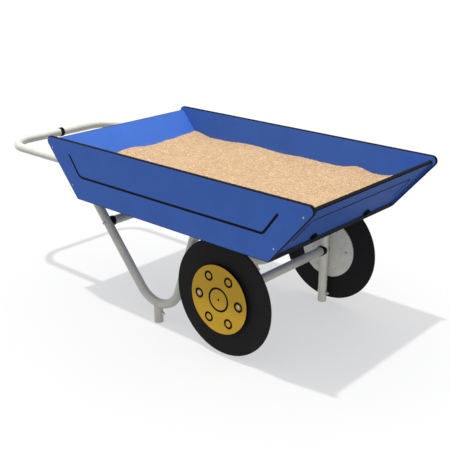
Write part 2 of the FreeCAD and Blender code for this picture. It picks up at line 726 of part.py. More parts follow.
def wheel_axle(side):
    """Axle bolt: threaded into the cross tube, through the post, out into the wheel."""
    return along_y(AXLE_X, AXLE_Z, AXLE_R, side, CROSS_END - 50, AXLE_END)


def axle_spacer(side):
    """Washer between the post and the flange of the bush."""
    y1 = WHEEL_INNER_Y - BUSH_FLANGE - THRUST_GAP
    body = ring_y(AXLE_X, AXLE_Z, 14.5, AXLE_R, side, FRAME_Y + TUBE_R - 5, y1)
    return body.cut(rod(V(AXLE_X, side * FRAME_Y, 200), AXIS_Z, TUBE_R, 220))


def axle_washer(side):
    y0 = SPACER_Y + THRUST_GAP
    return ring_y(AXLE_X, AXLE_Z, 20.0, AXLE_R, side, y0, AXLE_END - AXLE_NUT)


def axle_nut(side):
    start = V(AXLE_X, side * (AXLE_END - AXLE_NUT), AXLE_Z)
    nut = hexagon(start, V(0, side, 0), 30.0, AXLE_NUT - 0.5)
    return nut.cut(along_y(AXLE_X, AXLE_Z, AXLE_R, side, AXLE_END - AXLE_NUT - 1, AXLE_END + 1))


# ---- the list of parts --------------------------------------------------------
def build_tray():
    for name, side in SIDES.items():
        parts["side_panel_" + name] = side_panel(side)
        parts["floor_angle_" + name] = floor_angle(side)
    front = end_panel(front_outer_x, 1, FRONT_DROP).cut(front_groove())
    rear = end_panel(rear_outer_x, -1, REAR_DROP)
    for side in SIDES.values():
        front = front.cut(bumper_screw(side))
        rear = rear.cut(rear_fixing(side)[1])
        for x in angle_screw_xs():
            hole = along_y(x + 40, FLOOR_TOP + 18, 2.0, side, INNER_HALF - 1, INNER_HALF + 13)
            name = "side_panel_left" if side > 0 else "side_panel_right"
            parts[name] = parts[name].cut(hole)
    parts["front_panel"] = front
    parts["rear_panel"] = rear
    parts["floor_panel"] = floor_panel()
    parts["sand_fill"] = sand_fill()
    parts["floor_angle_screws"] = compound(floor_angle_screws())
    screws = []
    caps = []
    for side in SIDES.values():
        for x, z in end_screw_places():
            screws.append(along_y(x, z, SCREW_R, side, INNER_HALF - SCREW_LENGTH, HALF_WIDTH - 4.0))
            cap = along_y(x, z, CAP_R, side, HALF_WIDTH - 4.0, HALF_WIDTH - 0.4)
            caps.append(cap)
    parts["end_panel_screws"] = compound(screws)
    parts["screw_caps"] = compound(caps)
    parts["front_bumpers"] = compound([bumper(side) for side in SIDES.values()])
    parts["bumper_screws"] = compound([bumper_screw(side) for side in SIDES.values()])


def build_frame():
    for name, side in SIDES.items():
        parts["handle_tube_" + name] = handle_tube(side)
        parts["leg_tube_" + name] = leg_tube(side)
        parts["front_post_" + name] = front_post(side)
        parts["rear_foot_" + name] = rear_foot(side)
    both = list(SIDES.values())
    rear_x = on_leg(CROSS_Z, 0).x
    feet = [(x, side) for x in (AXLE_X, FOOT_X) for side in both]
    parts["handle_spigot"] = handle_spigot()
    parts["handle_joiner"] = handle_joiner()
    parts["leg_spigots"] = compound([leg_spigot(side) for side in both])
    parts["foot_sleeves"] = compound([foot_sleeve(x, side) for x, side in feet])
    parts["foot_bolts"] = compound([foot_bolt(x, side) for x, side in feet])
    parts["foot_nuts"] = compound([foot_nut(x, side) for x, side in feet])
    parts["front_cross_tube"] = cross_tube(AXLE_X, AXLE_Z)
    parts["rear_cross_tube"] = cross_tube(rear_x, CROSS_Z)
    parts["front_saddles"] = compound([saddle(AXLE_X, AXLE_Z, side, AXIS_Z, AXLE_R) for side in both])
    parts["rear_saddles"] = compound([saddle(rear_x, CROSS_Z, side, LEG_DIR, 5.0) for side in both])
    parts["front_inserts"] = compound([tube_insert(AXLE_X, AXLE_Z, side, AXLE_R) for side in both])
    parts["rear_inserts"] = compound([tube_insert(rear_x, CROSS_Z, side, 5.0) for side in both])
    parts["rear_cross_bolts"] = compound([rear_cross_bolt(side) for side in both])
    parts["rear_panel_spacers"] = compound([rear_fixing(side)[0] for side in both])
    parts["rear_panel_bolts"] = compound([rear_fixing(side)[1] for side in both])
    parts["rear_panel_nuts"] = compound([rear_fixing(side)[2] for side in both])
    bolts = [(x, side * FRAME_Y) for x in TRAY_BOLT_XS for side in both]
    parts["tray_bolts"] = compound([tray_bolt(x, y) for x, y in bolts])
    parts["tray_nuts"] = compound([tray_nut(x, y) for x, y in bolts])
    parts["run_caps"] = compound([run_cap(side) for side in both])
    parts["wheel_axles"] = compound([wheel_axle(side) for side in both])
    parts["axle_spacers"] = compound([axle_spacer(side) for side in both])
    parts["axle_washers"] = compound([axle_washer(side) for side in both])
    parts["axle_nuts"] = compound([axle_nut(side) for side in both])


def build_wheels():
    for name, side in SIDES.items():
        parts["tyre_disc_" + name] = tyre_disc(side)
        parts["inner_disc_" + name] = inner_disc(side)
        parts["spacer_disc_" + name] = spacer_disc(side)
        parts["hub_disc_" + name] = hub_disc(side)
        parts["wheel_bush_" + name] = wheel_bush(side)
        parts["wheel_bolts_" + name] = compound(wheel_bolts(side))
        parts["wheel_nuts_" + name] = compound(wheel_nuts(side))
        parts["wheel_screws_" + name] = compound(wheel_screws(side))


def main():
    build_tray()
    build_frame()
    build_wheels()
    os.makedirs("parts", exist_ok=True)
    for name, shape in parts.items():
        shape.exportStep("parts/" + name + ".step")
    whole = Part.makeCompound(list(parts.values())).BoundBox
    print("parts", len(parts))
    print("box", whole)


main()
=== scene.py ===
import math

import bmesh
import bpy
from mathutils import Matrix, Vector, noise


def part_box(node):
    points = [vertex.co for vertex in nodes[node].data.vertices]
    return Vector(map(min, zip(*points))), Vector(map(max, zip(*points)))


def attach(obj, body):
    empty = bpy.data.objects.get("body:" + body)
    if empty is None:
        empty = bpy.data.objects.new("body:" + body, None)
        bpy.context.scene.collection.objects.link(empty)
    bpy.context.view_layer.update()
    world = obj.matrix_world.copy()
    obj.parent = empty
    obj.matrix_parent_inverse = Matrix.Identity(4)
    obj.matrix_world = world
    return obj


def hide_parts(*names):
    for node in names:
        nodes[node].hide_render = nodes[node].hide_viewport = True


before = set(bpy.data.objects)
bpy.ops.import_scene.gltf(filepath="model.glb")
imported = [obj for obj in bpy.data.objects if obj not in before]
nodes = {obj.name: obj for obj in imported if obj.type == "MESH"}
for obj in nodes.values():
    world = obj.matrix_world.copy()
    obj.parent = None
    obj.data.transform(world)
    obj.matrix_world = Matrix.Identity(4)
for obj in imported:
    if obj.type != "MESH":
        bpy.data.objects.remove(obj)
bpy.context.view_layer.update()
scene = bpy.context.scene

# ---- places taken from the frame (metres) ---------------------------------------
LEFT, RIGHT = 1, -1
SIDE_NAME = {LEFT: "left", RIGHT: "right"}
wheel_low, wheel_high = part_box("tyre_disc_right")
AXLE = Vector(((wheel_low.x + wheel_high.x) / 2, 0.0, (wheel_low.z + wheel_high.z) / 2))
side_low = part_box("side_panel_left")[0]
floor_low, floor_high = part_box("floor_panel")
sand_low, sand_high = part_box("sand_fill")
TRAY_IN = side_low.y                  # inner face of the left side panel
SLOPE = math.atan2(0.309, 0.2612)     # end panels, from the horizontal: rise and run of the tray's ends
SHEET = 0.019                         # thickness of a tray sheet
TUBE_R = 0.02415                      # outside radius of the frame tubes
FRAME_Y = 0.394                       # axis of the left legs and posts, from the middle


# ---- node helpers ---------------------------------------------------------------
class Nodes:
    """Short calls for building one material's node tree."""

    def __init__(self, name):
        self.material = bpy.data.materials.new(name)
        self.material.use_nodes = True
        self.tree = self.material.node_tree
        self.shader = self.tree.nodes["Principled BSDF"]
        coords = self.tree.nodes.new("ShaderNodeTexCoord")
        self.position = coords.outputs["Object"]
        self.normal = coords.outputs["Normal"]

    def link(self, source, target):
        if hasattr(source, "node"):
            self.tree.links.new(source, target)
        else:
            target.default_value = source

    def math(self, operation, a, b=0.0):
        node = self.tree.nodes.new("ShaderNodeMath")
        node.operation = operation
        self.link(a, node.inputs[0])
        self.link(b, node.inputs[1])
        return node.outputs[0]

    def mix(self, factor, a, b):
        node = self.tree.nodes.new("ShaderNodeMix")
        node.data_type = "RGBA"
        self.link(factor, node.inputs["Factor"])
        self.link(a, node.inputs["A"])
        self.link(b, node.inputs["B"])
        return node.outputs["Result"]

    def noise(self, scale, detail=3.0, rough=0.5, vector=None):
        node = self.tree.nodes.new("ShaderNodeTexNoise")
        node.inputs["Scale"].default_value = scale
        node.inputs["Detail"].default_value = detail
        node.inputs["Roughness"].default_value = rough
        self.link(self.position if vector is None else vector, node.inputs["Vector"])
        return node.outputs["Fac"]

    def voronoi(self, scale, out="Distance"):
        node = self.tree.nodes.new("ShaderNodeTexVoronoi")
        node.inputs["Scale"].default_value = scale
        self.link(self.position, node.inputs["Vector"])
        return node.outputs[out]

    def ramp(self, value, low, high, start=0.0, end=1.0):
        """value mapped from low..high to start..end, held at both ends."""
        node = self.tree.nodes.new("ShaderNodeMapRange")
        self.link(value, node.inputs["Value"])
        for name, number in (("From Min", low), ("From Max", high), ("To Min", start), ("To Max", end)):
            node.inputs[name].default_value = number
        return node.outputs["Result"]

    def split(self, vector):
        node = self.tree.nodes.new("ShaderNodeSeparateXYZ")
        self.link(vector, node.inputs[0])
        return node.outputs

    def stretch(self, x, y, z):
        node = self.tree.nodes.new("ShaderNodeMapping")
        self.link(self.position, node.inputs["Vector"])
        node.inputs["Scale"].default_value = (x, y, z)
        return node.outputs[0]

    def bump(self, height, strength, distance, below=None):
        node = self.tree.nodes.new("ShaderNodeBump")
        node.inputs["Strength"].default_value = strength
        node.inputs["Distance"].default_value = distance
        self.link(height, node.inputs["Height"])
        if below is not None:
            self.link(below, node.inputs["Normal"])
        return node.outputs[0]

    def finish(self, colour, roughness, normal=None, metallic=0.0, specular=0.5, coat=0.0):
        self.link(colour, self.shader.inputs["Base Color"])
        self.link(roughness, self.shader.inputs["Roughness"])
        self.shader.inputs["Metallic"].default_value = metallic
        self.shader.inputs["Specular IOR Level"].default_value = specular
        self.shader.inputs["Coat Weight"].default_value = coat
        if normal is not None:
            self.link(normal, self.shader.inputs["Normal"])
        return self.material


def rgb(red, green, blue):
    """Linear colour from the 0-255 values of a paint swatch."""
    linear = []
    for value in (red, green, blue):
        part = value / 255
        linear.append(part / 12.92 if part <= 0.04045 else ((part + 0.055) / 1.055) ** 2.4)
    return (*linear, 1.0)


# ---- materials ------------------------------------------------------------------
CORE = rgb(6, 5, 5)                 # inside of the two-tone sheets
# painted highlight: the core's up-facing faces drawn lighter, standing in for light from above
LIT_TOP_CORE = rgb(30, 31, 29)
SKIN_GAP = 0.00006                  # how far from a face's plane its skin still shows


def sheet_surface(n, colour, tint=0.06):
    """Colour of pebbled polyethylene: cloudy, with fine specks."""
    r, g, b, _ = colour
    darker = (r * (1 - tint), g * (1 - tint), b * (1 - tint), 1)
    lighter = (min(1, r * (1 + tint)), min(1, g * (1 + tint)), min(1, b * (1 + tint)), 1)
    cloud = n.ramp(n.noise(7.0, 4.0, 0.6), 0.3, 0.7)
    base = n.mix(cloud, darker, lighter)
    speck = n.ramp(n.noise(900.0, 2.0, 0.6), 0.35, 0.75)
    return n.mix(n.math("MULTIPLY", speck, 0.18), base, darker)


def sheet_bump(n):
    grain = n.noise(650.0, 2.0, 0.55)
    wave = n.noise(26.0, 2.0, 0.5)
    fine = n.bump(grain, 0.16, 0.0006)
    return n.bump(wave, 0.05, 0.004, fine)


def sheet(name, colour, mask, dust=None, lit_top_core=None, specular=0.08):
    """Two-tone sheet: skins of colour where mask is 1, dark core where it is 0.

    The colour given after dust paints a highlight: the core where it faces up, drawn lighter as if lit from
    above.
    """
    n = Nodes(name)
    skin = sheet_surface(n, colour)
    core_cloud = n.ramp(n.noise(60.0, 3.0, 0.6), 0.3, 0.7)
    core = n.mix(core_cloud, CORE, rgb(12, 11, 10))
    if lit_top_core is not None:
        # painted highlight: where the core faces up it turns lighter, as if lit from above
        core = n.mix(n.ramp(n.split(n.normal)[2], 0.3, 0.9), core, lit_top_core)
    whole = n.mix(mask(n), core, skin)
    scuff = n.noise(34.0, 6.0, 0.7, n.stretch(1.0, 1.0, 6.0))
    rough = n.ramp(scuff, 0.35, 0.7, 0.5, 0.62)
    if dust is not None:
        whole = n.mix(dust(n), whole, rgb(226, 196, 158))
    return n.finish(whole, rough, sheet_bump(n), specular=specular)


def face_mask(axis_vector, planes):
    """1 on the skin faces: those whose position along axis_vector is one of planes."""

    def build(n):
        dot = n.tree.nodes.new("ShaderNodeVectorMath")
        dot.operation = "DOT_PRODUCT"
        n.link(n.position, dot.inputs[0])
        dot.inputs[1].default_value = axis_vector
        total = None
        for plane in planes:
            gap = n.math("ABSOLUTE", n.math("SUBTRACT", dot.outputs["Value"], plane))
            near = n.math("LESS_THAN", gap, SKIN_GAP)
            total = near if total is None else n.math("MAXIMUM", total, near)
        return total

    return build


# Dust on the walls, from the level of the fill: full up to FADE_BELOW under it, gone at FADE_ABOVE over it.
FADE_BELOW, FADE_ABOVE = 0.004, 0.018
DUST_FOOT = 0.02                    # and none further under it than this


def sand_dust(inner_face):
    """Thin uneven veil of grains just above the fill; inner_face is the mask of the face it sits on."""

    def build(n):
        z = n.split(n.position)[2]
        low = n.ramp(z, sand_high.z - FADE_BELOW, sand_high.z + FADE_ABOVE, 1.0, 0.0)
        patch = n.ramp(n.noise(70.0, 5.0, 0.7), 0.45, 0.7)
        grains = n.ramp(n.noise(1500.0, 1.0, 0.5), 0.52, 0.6)
        above = n.math("GREATER_THAN", z, sand_high.z - DUST_FOOT)
        veil = n.math("MULTIPLY", n.math("MULTIPLY", low, patch), n.math("MULTIPLY", grains, inner_face(n)))
        return n.math("MULTIPLY", n.math("MULTIPLY", veil, above), 0.3)

    return build


def powder_coat():
    n = Nodes("white_powder_coat")
    cloud = n.ramp(n.noise(9.0, 3.0, 0.5), 0.35, 0.65)
    base = n.mix(cloud, rgb(181, 180, 172), rgb(190, 189, 181))
    z = n.split(n.position)[2]
    splash = n.math("MULTIPLY", n.ramp(z, 0.0, 0.16, 1.0, 0.0), n.ramp(n.noise(45.0, 5.0, 0.7), 0.45, 0.7))
    dirty = n.mix(n.math("MULTIPLY", splash, 0.35), base, rgb(176, 162, 140))
    peel = n.noise(260.0, 2.0, 0.5)
    rough = n.ramp(n.noise(40.0, 4.0, 0.6), 0.3, 0.7, 0.3, 0.4)
    return n.finish(dirty, rough, n.bump(peel, 0.12, 0.0008), specular=0.5, coat=0.15)


def moulded_black(name, colour, rough_low, rough_high, grain=500.0, specular=0.1):
    n = Nodes(name)
    r, g, b, _ = colour
    cloud = n.ramp(n.noise(30.0, 3.0, 0.6), 0.3, 0.7)
    base = n.mix(cloud, colour, (r * 1.15, g * 1.15, b * 1.15, 1))
    rough = n.ramp(n.noise(80.0, 4.0, 0.6), 0.3, 0.7, rough_low, rough_high)
    return n.finish(base, rough, n.bump(n.noise(grain, 2.0, 0.5), 0.2, 0.0005), specular=specular)


def steel(name, colour, rough_low, rough_high, streak=(1.0, 1.0, 1.0)):
    n = Nodes(name)
    r, g, b, _ = colour
    grain = n.noise(300.0, 5.0, 0.7, n.stretch(*streak))
    base = n.mix(n.ramp(grain, 0.3, 0.7), (r * 0.82, g * 0.82, b * 0.82, 1), colour)
    rough = n.ramp(grain, 0.3, 0.7, rough_low, rough_high)
    return n.finish(base, rough, n.bump(grain, 0.08, 0.0003), metallic=1.0)


def sand_material():
    n = Nodes("play_sand")
    drift = n.ramp(n.noise(5.0, 5.0, 0.6), 0.3, 0.7)
    base = n.mix(drift, rgb(240, 207, 166), rgb(254, 224, 184))
    grain = n.noise(520.0, 4.0, 0.75)
    grained = n.mix(n.ramp(grain, 0.34, 0.66), rgb(134, 106, 76), base)
    damp = n.math("MULTIPLY", n.ramp(n.noise(48.0, 8.0, 0.85), 0.47, 0.68), 0.5)
    grained = n.mix(damp, grained, rgb(136, 108, 78))
    mottle = n.math("MULTIPLY", n.ramp(n.noise(110.0, 2.0, 0.6), 0.42, 0.6), 0.55)
    grained = n.mix(mottle, grained, rgb(150, 118, 84))
    dug = n.math("MULTIPLY", n.ramp(n.noise(24.0, 5.0, 0.62), 0.48, 0.62), 0.42)
    grained = n.mix(dug, grained, rgb(168, 132, 94))
    clod_tone = n.split(n.voronoi(200.0, "Color"))[0]
    grained = n.mix(n.math("MULTIPLY", clod_tone, 0.75), grained, rgb(134, 104, 72))
    cells = n.voronoi(780.0, "Color")
    tone = n.split(cells)[0]
    pale = n.math("MULTIPLY", n.math("GREATER_THAN", tone, 0.88), 0.7)
    dark = n.math("MULTIPLY", n.math("LESS_THAN", tone, 0.08), 0.7)
    colour = n.mix(pale, grained, rgb(218, 198, 166))
    colour = n.mix(dark, colour, rgb(84, 60, 40))
    clumps = n.noise(105.0, 6.0, 0.75)
    fine = n.bump(n.voronoi(520.0), 0.6, 0.0014)
    lumps = n.bump(clumps, 0.8, 0.007, fine)
    return n.finish(colour, 0.92, lumps, specular=0.15)


def face_planes(node):
    low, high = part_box(node)
    return (low.y, high.y)


side_planes = []
yellow_planes = []
for name in SIDE_NAME.values():
    side_planes.extend(face_planes("side_panel_" + name))
    yellow_planes.extend(face_planes("hub_disc_" + name))

BLUE = rgb(54, 90, 165)
out_front = Vector((math.sin(SLOPE), 0, -math.cos(SLOPE)))
out_rear = Vector((-math.sin(SLOPE), 0, -math.cos(SLOPE)))


def skin_planes(node, outward):
    """Distances along outward of a sloped panel's two big faces."""
    far = max(outward.dot(v.co) for v in nodes[node].data.vertices)
    return (far, far - SHEET)


front_planes = skin_planes("front_panel", out_front)
rear_planes = skin_planes("rear_panel", out_rear)
materials = {
    "blue_side": sheet("blue_sheet_side", BLUE, face_mask((0, 1, 0), side_planes),
                       sand_dust(face_mask((0, 1, 0), (TRAY_IN, -TRAY_IN)))),
    "blue_front": sheet("blue_sheet_front", BLUE, face_mask(out_front, front_planes),
                        sand_dust(face_mask(out_front, front_planes[1:])), LIT_TOP_CORE, 0.02),
    "blue_rear": sheet("blue_sheet_rear", BLUE, face_mask(out_rear, rear_planes),
                       sand_dust(face_mask(out_rear, rear_planes[1:]))),
    "blue_floor": sheet("blue_sheet_floor", BLUE, face_mask((0, 0, 1), (floor_low.z, floor_high.z))),
    "yellow": sheet("yellow_sheet", rgb(191, 152, 45), face_mask((0, 1, 0), yellow_planes)),
    "black_sheet": moulded_black("black_sheet", rgb(37, 37, 38), 0.6, 0.72, 620.0, 0.03),
    "black_plastic": moulded_black("black_plastic", rgb(10, 10, 10), 0.35, 0.5),
    "rubber": moulded_black("black_rubber", rgb(11, 11, 11), 0.65, 0.85, 380.0),
    "grey": moulded_black("grey_sheet", rgb(222, 220, 210), 0.5, 0.62, 620.0),
    "bush": moulded_black("bush_plastic", rgb(120, 118, 112), 0.3, 0.45),
    "cap": moulded_black("cap_plastic", rgb(184, 170, 146), 0.35, 0.5, 300.0),
    "white_tube": powder_coat(),
    "stainless": steel("stainless_steel", (0.52, 0.54, 0.58, 1), 0.25, 0.4),
    "zinc": steel("zinc_steel", (0.55, 0.56, 0.58, 1), 0.35, 0.5),
    "sand": sand_material(),
}

finishes = {
    "blue_side": ["side_panel_left", "side_panel_right"],
    "blue_front": ["front_panel"],
    "blue_rear": ["rear_panel"],
    "blue_floor": ["floor_panel"],
    "yellow": ["hub_disc_left", "hub_disc_right"],
    "black_sheet": ["tyre_disc_left", "tyre_disc_right", "spacer_disc_left", "spacer_disc_right"],
    "black_plastic": ["handle_joiner", "front_saddles", "rear_saddles", "run_caps", "rear_panel_spacers"],
    "rubber": ["front_bumpers"],
    "grey": ["inner_disc_left", "inner_disc_right"],
    "bush": ["wheel_bush_left", "wheel_bush_right"],
    "cap": ["screw_caps"],
    "white_tube": ["handle_tube_left", "handle_tube_right", "leg_tube_left", "leg_tube_right",
                   "front_post_left", "front_post_right", "rear_foot_left", "rear_foot_right",
                   "front_cross_tube", "rear_cross_tube"],
    "zinc": ["floor_angle_left", "floor_angle_right", "leg_spigots", "handle_spigot", "foot_sleeves",
             "front_inserts", "rear_inserts"],
}
finish_of = {}
for finish, members in finishes.items():
    for node in members:
        finish_of[node] = finish
for node, item in nodes.items():
    item.data.materials.clear()
    item.data.materials.append(materials[finish_of.get(node, "stainless")])


# ---- sand -----------------------------------------------------------------------
def smooth_step(edge, value):
    """0 at value 0, rising smoothly to 1 at edge."""
    t = max(0.0, min(1.0, value / edge))
    return t * t * (3 - 2 * t)


def front_wall_x(z):
    """Inner face of the front panel at height z."""
    return sand_high.x + (z - sand_high.z) / math.tan(SLOPE)


def rear_wall_x(z):
    return sand_low.x - (z - sand_high.z) / math.tan(SLOPE)


# Mounds and hollows of the fill: forward of the axle, across, rise, radius.
MOUNDS = (
    (-1.06, 0.50, 0.011, 0.09), (-0.84, 0.47, -0.008, 0.12), (-0.62, 0.50, 0.004, 0.10),
    (-0.38, 0.48, -0.007, 0.13), (-0.03, 0.46, -0.006, 0.10), (0.115, 0.52, 0.0165, 0.065),
    (0.235, 0.50, -0.004, 0.07), (0.40, 0.50, 0.020, 0.085), (-1.05, 0.10, -0.004, 0.16),
    (-1.05, 0.30, 0.004, 0.14), (-0.55, -0.05, 0.010, 0.28), (0.10, -0.15, 0.008, 0.22),
    (-0.20, 0.15, -0.007, 0.20), (-0.85, 0.05, -0.006, 0.18), (0.30, 0.15, -0.004, 0.15),
    (-0.95, 0.50, -0.007, 0.06), (-1.07, -0.03, 0.013, 0.11), (-0.15, 0.48, -0.002, 0.06),
)
# Relief all over the fill, under the mounds.
LUMP_RISE, DENT_DEPTH, RIPPLE_RISE = 0.0034, 0.0045, 0.0011
DENT_MEAN = 0.3           # about the mean of the dents, so that they leave the fill's level alone
EDGE_CALM = 0.35          # share of that relief left at the side panels
CALM_REACH = 0.06         # distance over which the full relief comes back


def sand_height(x, y):
    """Raked and dug play sand: mounds and hollows, smaller lumps, ripples, calmer along the side panels."""
    spot = Vector((x, y, 0.0))
    lumps = noise.fractal(spot * 11.0 + Vector((0, 0, 4.2)), 0.8, 2.1, 5)
    dents = abs(noise.noise(spot * 17.0 + Vector((2.0, 8.0, 1.0))))
    ripple = noise.noise(spot * 55.0 + Vector((5.0, 1.0, 9.0)))
    calm = EDGE_CALM + (1 - EDGE_CALM) * smooth_step(CALM_REACH, TRAY_IN - abs(y))
    height = calm * (LUMP_RISE * lumps + DENT_DEPTH * (DENT_MEAN - dents) + RIPPLE_RISE * ripple)
    for forward, across, rise, radius in MOUNDS:
        gap = ((x - AXLE.x - forward) ** 2 + (y - across) ** 2) / radius ** 2
        height += rise * math.exp(-gap)
    return height


SAND_COLUMNS, SAND_ROWS = 400, 260      # steps along and across the tray
WALL_GAP = 0.0006         # kept between the heap and the side panels
END_GAP = 0.0005          # and between its foot and the end panels
FLOOR_GAP = 0.0004        # and between its underside and the floor


def sand_grid(mesh):
    """Top of the heap: lines of points across the tray, from the rear panel to the front panel."""
    grid = []
    for i in range(SAND_COLUMNS + 1):
        line = []
        for j in range(SAND_ROWS + 1):
            y = (j / SAND_ROWS * 2 - 1) * (TRAY_IN - WALL_GAP)
            z = sand_high.z
            for _ in range(3):      # the end panels lean, so the place and the height settle together
                x = rear_wall_x(z) + i / SAND_COLUMNS * (front_wall_x(z) - rear_wall_x(z))
                z = sand_high.z + sand_height(x, y)
            line.append(mesh.verts.new((x, y, z)))
        grid.append(line)
    for i in range(SAND_COLUMNS):
        for j in range(SAND_ROWS):
            mesh.faces.new((grid[i][j], grid[i + 1][j], grid[i + 1][j + 1], grid[i][j + 1]))
    return grid


def sand_mesh():
    """Closed heap that fills the tray from wall to wall and down to the floor."""
    mesh = bmesh.new()
    grid = sand_grid(mesh)
    rear, front = grid[0], grid[SAND_COLUMNS]
    border = [line[0] for line in grid[:-1]] + front[:-1]
    border += [line[SAND_ROWS] for line in grid[:0:-1]] + rear[:0:-1]
    floor_z = sand_low.z + FLOOR_GAP
    least_x, most_x = rear_wall_x(floor_z) + END_GAP, front_wall_x(floor_z) - END_GAP
    rear_verts, front_verts = set(rear), set(front)
    bottom = []
    for vert in border:
        x = vert.co.x
        shift = (vert.co.z - floor_z) / math.tan(SLOPE)
        if vert in rear_verts:
            x += shift
        elif vert in front_verts:
            x -= shift
        bottom.append(mesh.verts.new((max(least_x, min(most_x, x)), vert.co.y, floor_z)))
    count = len(border)
    for k in range(count):
        mesh.faces.new((border[k], bottom[k], bottom[(k + 1) % count], border[(k + 1) % count]))
    mesh.faces.new(list(reversed(bottom)))
    bmesh.ops.recalc_face_normals(mesh, faces=mesh.faces)
    data = bpy.data.meshes.new("sand_heap")
    mesh.to_mesh(data)
    mesh.free()
    data.shade_smooth()
    return data


sand = bpy.data.objects.new("sand_heap", sand_mesh())
scene.collection.objects.link(sand)
sand.data.materials.append(materials["sand"])
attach(sand, "root")
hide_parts("sand_fill")


# ---- bolts with socket heads, and domed nuts ----------------------------------------
SEGMENTS = 48             # points round a bolt or nut
# Head radius, head height and shank radius.
WHEEL_BOLT = (0.00875, 0.0049, 0.004)
FOOT_BOLT = (0.009, 0.0062, 0.005)
CROSS_BOLT = (0.0095, 0.009, 0.005)


def lathe(mesh, base, direction, rings):
    """Skin of revolution about direction from base; rings are (radius or function, height)."""
    turn = Vector(direction).to_track_quat("Z", "Y").to_matrix()
    loops = []
    for radius, height in rings:
        loop = []
        for k in range(SEGMENTS):
            angle = 2 * math.pi * k / SEGMENTS
            reach = radius(angle) if callable(radius) else radius
            local = Vector((reach * math.cos(angle), reach * math.sin(angle), height))
            loop.append(mesh.verts.new(base + turn @ local))
        loops.append(loop)
    for low, high in zip(loops, loops[1:]):
        for k in range(SEGMENTS):
            after = (k + 1) % SEGMENTS
            mesh.faces.new((low[k], low[after], high[after], high[k]))
    mesh.faces.new(list(reversed(loops[0])))
    mesh.faces.new(loops[-1])


def hexagon(half_flats):
    def reach(angle):
        return half_flats / math.cos((angle % (math.pi / 3)) - math.pi / 6)

    return reach


def button_bolt(mesh, seat, outward, head_r, head_h, shank_r, shank_length, skirt=0.0):
    """Domed head with a hexagon socket, and a threaded shank, about the line outward from seat."""
    socket = head_r * 0.42
    rings = [(shank_r * 0.8, -shank_length)]
    pitch = shank_r * 0.3
    thread_end = -shank_length + min(shank_length * 0.45, 0.02)
    height = -shank_length + pitch
    while height < thread_end:
        rings.append((shank_r, height))
        rings.append((shank_r * 0.88, height + pitch / 2))
        height += pitch
    rings += [(shank_r, thread_end), (shank_r, -skirt), (head_r, -skirt), (head_r, head_h * 0.12)]
    for k in range(1, 8):
        lean = math.radians(9 * k)
        rings.append((head_r * math.cos(lean), head_h * (0.12 + 0.88 * math.sin(lean))))
    top = rings[-1][1]
    rings += [(hexagon(socket * 1.06), top), (hexagon(socket), top - head_h * 0.06),
              (hexagon(socket), top - head_h * 0.62), (socket * 0.3, top - head_h * 0.7)]
    lathe(mesh, seat, outward, rings)


def finished(name, mesh, material, smooth_angle=35):
    """New object in the scene from mesh, shaded smooth up to smooth_angle degrees."""
    bmesh.ops.recalc_face_normals(mesh, faces=mesh.faces)
    data = bpy.data.meshes.new(name)
    mesh.to_mesh(data)
    mesh.free()
    data.shade_smooth()
    data.set_sharp_from_angle(angle=math.radians(smooth_angle))
    item = bpy.data.objects.new(name, data)
    item.data.materials.append(material)
    scene.collection.objects.link(item)
    return item


def solid_boxes(node):
    """Lowest and highest corner of each separate solid of a CAD node."""
    mesh = bmesh.new()
    mesh.from_mesh(nodes[node].data)
    bmesh.ops.remove_doubles(mesh, verts=mesh.verts, dist=1e-6)
    left = set(mesh.verts)
    boxes = []
    while left:
        reached = [left.pop()]
        low, high = reached[0].co.copy(), reached[0].co.copy()
        while reached:
            vert = reached.pop()
            low = Vector(map(min, low, vert.co))
            high = Vector(map(max, high, vert.co))
            for edge in vert.link_edges:
                other = edge.other_vert(vert)
                if other in left:
                    left.remove(other)
                    reached.append(other)
        boxes.append((low, high))
    mesh.free()
    return sorted(boxes, key=lambda pair: tuple(round(c, 4) for c in pair[0]))


def wheel_bolt_set(side):
    """Through bolts of one wheel, with their heads on the face of the hub disc."""
    node = "wheel_bolts_" + SIDE_NAME[side]
    mesh = bmesh.new()
    face = abs(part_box("hub_disc_" + SIDE_NAME[side])[1 if side > 0 else 0].y)
    for low, high in solid_boxes(node):
        seat = Vector(((low.x + high.x) / 2, side * face, (low.z + high.z) / 2))
        length = face - min(abs(low.y), abs(high.y))
        button_bolt(mesh, seat, (0, side, 0), *WHEEL_BOLT, length)
    piece = finished("socket_bolts_" + SIDE_NAME[side], mesh, materials["stainless"])
    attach(piece, "wheel_" + SIDE_NAME[side])
    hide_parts(node)


for side in (LEFT, RIGHT):
    wheel_bolt_set(side)


def frame_bolts(name, node, outward, head_r, head_h, shank_r):
    """Frame bolts of one node; the head's skirt sinks into the curve of the tube under it."""
    mesh = bmesh.new()
    skirt = TUBE_R - math.sqrt(TUBE_R ** 2 - head_r ** 2)
    for low, high in solid_boxes(node):
        centre = (low + high) / 2
        direction = Vector(outward(centre))
        axis = max(range(3), key=lambda k: abs(direction[k]))
        length = high[axis] - low[axis] - head_h
        tip = centre + direction * (high[axis] - low[axis]) / 2
        button_bolt(mesh, tip - direction * head_h, direction, head_r, head_h, shank_r, length, skirt)
    piece = finished(name, mesh, materials["stainless"])
    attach(piece, "root")
    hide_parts(node)


def backward(centre):
    return (-1, 0, 0)


def sideways(centre):
    return (0, math.copysign(1, centre.y), 0)


frame_bolts("socket_foot_bolts", "foot_bolts", backward, *FOOT_BOLT)
frame_bolts("socket_cross_bolts", "rear_cross_bolts", sideways, *CROSS_BOLT)


NUT_HALF_FLATS = 0.0085
NUT_SKIRT = 0.0016        # how far the nut's back sinks into the curve of the tube
NUT_BODY = 0.0095         # height of the hexagon
NUT_CHAMFER = 0.0012
CAP_R = 0.0078
CAP_WALL = 0.0026         # straight part of the cap, under its dome


